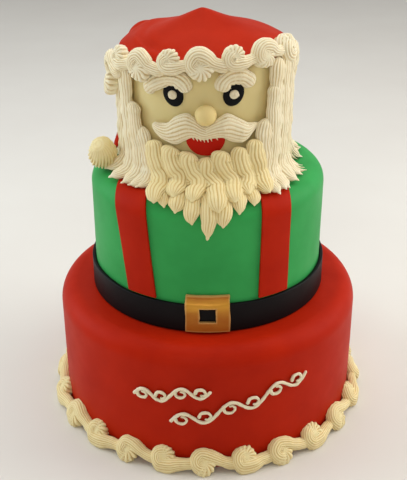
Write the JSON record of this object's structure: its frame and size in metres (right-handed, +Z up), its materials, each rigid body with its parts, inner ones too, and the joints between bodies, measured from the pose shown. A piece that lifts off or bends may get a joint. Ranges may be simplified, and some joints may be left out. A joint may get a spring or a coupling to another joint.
{
  "type": "santa cake",
  "caption": "Tiered celebration cake in rolled icing, made up as a bearded figure with a piped beard, a red hat, braces, a belt and a piped foot border.",
  "frame": {"origin": "centre of the flat base, on the surface that the cake stands on", "axes": "+Z up through the tiers, -Y towards the viewer of the face, +X to that viewer's right"},
  "size_m": [0.3345, 0.3349, 0.407],
  "materials": {
    "icing_red": "satin red rolled icing with a soft sheen",
    "icing_green": "satin green rolled icing",
    "icing_ivory": "satin ivory rolled icing",
    "icing_black": "satin black rolled icing",
    "lustre_gold": "gold lustre paint brushed on rolled icing",
    "buttercream": "piped cream-coloured buttercream with star-tip ridges",
    "bead_icing": "smooth piped bead of cream-coloured icing"
  },
  "bodies": {
    "root": {"bottom_tier": "icing_red", "middle_tier": "icing_green", "head_tier": "icing_ivory", "belt": "icing_black", "buckle": "lustre_gold", "brace_left": "icing_red", "brace_right": "icing_red", "eye_left": "icing_black", "eye_right": "icing_black", "pupil_left": "bead_icing", "pupil_right": "bead_icing", "mouth": "icing_red", "nose": "icing_ivory", "brow_left": "buttercream", "brow_right": "buttercream", "moustache_left": "buttercream", "moustache_right": "buttercream", "hat": "icing_red", "pompom": "buttercream", "hat_trim": "buttercream", "beard": "buttercream", "hair_left": "buttercream", "hair_right": "buttercream", "hair_back": "buttercream", "border_swirl_01": "buttercream", "border_swirl_02": "buttercream", "border_swirl_03": "buttercream", "border_swirl_04": "buttercream", "border_swirl_05": "buttercream", "border_swirl_06": "buttercream", "border_swirl_07": "buttercream", "border_swirl_08": "buttercream", "border_swirl_09": "buttercream", "border_swirl_10": "buttercream", "border_swirl_11": "buttercream", "border_swirl_12": "buttercream", "border_swirl_13": "buttercream", "border_swirl_14": "buttercream", "border_swirl_15": "buttercream", "border_swirl_16": "buttercream", "border_swirl_17": "buttercream", "border_swirl_18": "buttercream", "border_swirl_19": "buttercream", "border_swirl_20": "buttercream", "border_swirl_21": "buttercream", "border_swirl_22": "buttercream", "border_swirl_23": "buttercream", "border_swirl_24": "buttercream", "scroll_upper": "bead_icing", "scroll_lower": "bead_icing"}
  },
  "joints": []
}
